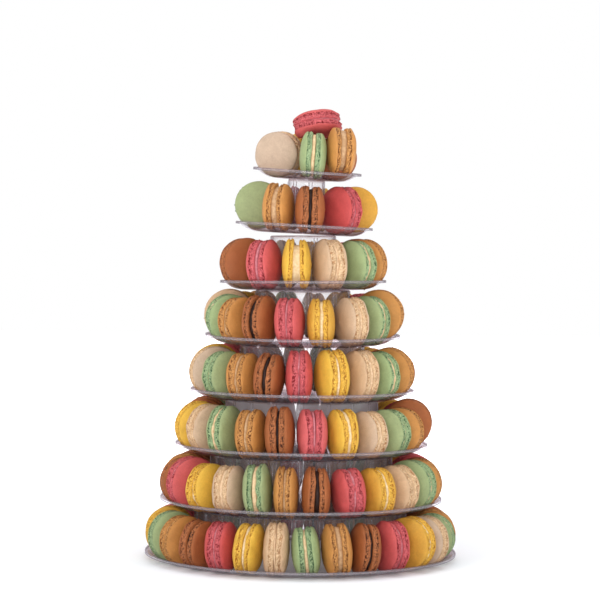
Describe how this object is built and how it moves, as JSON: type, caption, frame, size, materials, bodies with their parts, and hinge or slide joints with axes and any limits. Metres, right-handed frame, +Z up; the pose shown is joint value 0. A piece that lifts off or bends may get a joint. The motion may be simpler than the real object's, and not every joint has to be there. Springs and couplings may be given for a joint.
{
  "type": "macaron tower",
  "caption": "Tall cone of stacked clear plastic trays, each ringed with macarons in cream, green, caramel, brown, pink and yellow.",
  "frame": {"origin": "on the floor under the middle of the lowest tray", "axes": "+Z up the tower, -Y towards the front that the picture shows, +X to the right seen from the front"},
  "size_m": [0.31, 0.31, 0.447],
  "materials": {
    "clear_plastic": "gloss",
    "cream_shell": "matte",
    "green_shell": "matte",
    "caramel_shell": "matte",
    "brown_shell": "matte",
    "pink_shell": "matte",
    "yellow_shell": "matte",
    "mixed_shells": "matte",
    "pale_filling": "matte",
    "dark_filling": "satin",
    "pink_filling": "satin"
  },
  "bodies": {
    "root": {"macaron_1_01_cream": "cream_shell", "macaron_1_02_green": "green_shell", "macaron_1_03_caramel": "caramel_shell", "macaron_1_04_brown": "brown_shell", "macaron_1_05_yellow": "yellow_shell", "macaron_2_01_green": "green_shell", "macaron_2_02_caramel": "caramel_shell", "macaron_2_03_brown": "brown_shell", "macaron_2_04_pink": "pink_shell", "macaron_2_05_yellow": "yellow_shell", "macaron_2_06_cream": "cream_shell", "macaron_2_07_yellow": "yellow_shell", "macaron_2_08_pink": "pink_shell", "macaron_2_09_brown": "brown_shell", "macaron_3_01_caramel": "caramel_shell", "macaron_3_02_brown": "brown_shell", "macaron_3_03_pink": "pink_shell", "macaron_3_04_yellow": "yellow_shell", "macaron_3_05_cream": "cream_shell", "macaron_3_06_green": "green_shell", "macaron_3_07_caramel": "caramel_shell", "macaron_3_08_brown": "brown_shell", "macaron_3_09_pink": "pink_shell", "macaron_3_10_yellow": "yellow_shell", "macaron_3_11_cream": "cream_shell", "macaron_3_12_green": "green_shell", "macaron_4_01_yellow": "yellow_shell", "macaron_4_02_cream": "cream_shell", "macaron_4_03_green": "green_shell", "macaron_4_04_caramel": "caramel_shell", "macaron_4_05_brown": "brown_shell", "macaron_4_06_pink": "pink_shell", "macaron_4_07_yellow": "yellow_shell", "macaron_4_08_cream": "cream_shell", "macaron_4_09_green": "green_shell", "macaron_4_10_caramel": "caramel_shell", "macaron_4_11_brown": "brown_shell", "macaron_4_12_pink": "pink_shell", "macaron_4_13_yellow": "yellow_shell", "macaron_4_14_cream": "cream_shell", "macaron_4_15_green": "green_shell", "macaron_4_16_caramel": "caramel_shell", "macaron_top_pink": "pink_shell", "macarons_5": "mixed_shells", "macarons_6": "mixed_shells", "macarons_7": "mixed_shells", "macarons_8": "mixed_shells", "tray_1": "clear_plastic", "tray_2": "clear_plastic", "tray_3": "clear_plastic", "tray_4": "clear_plastic", "tray_5": "clear_plastic", "tray_6": "clear_plastic", "tray_7": "clear_plastic", "tray_8": "clear_plastic"}
  },
  "joints": []
}
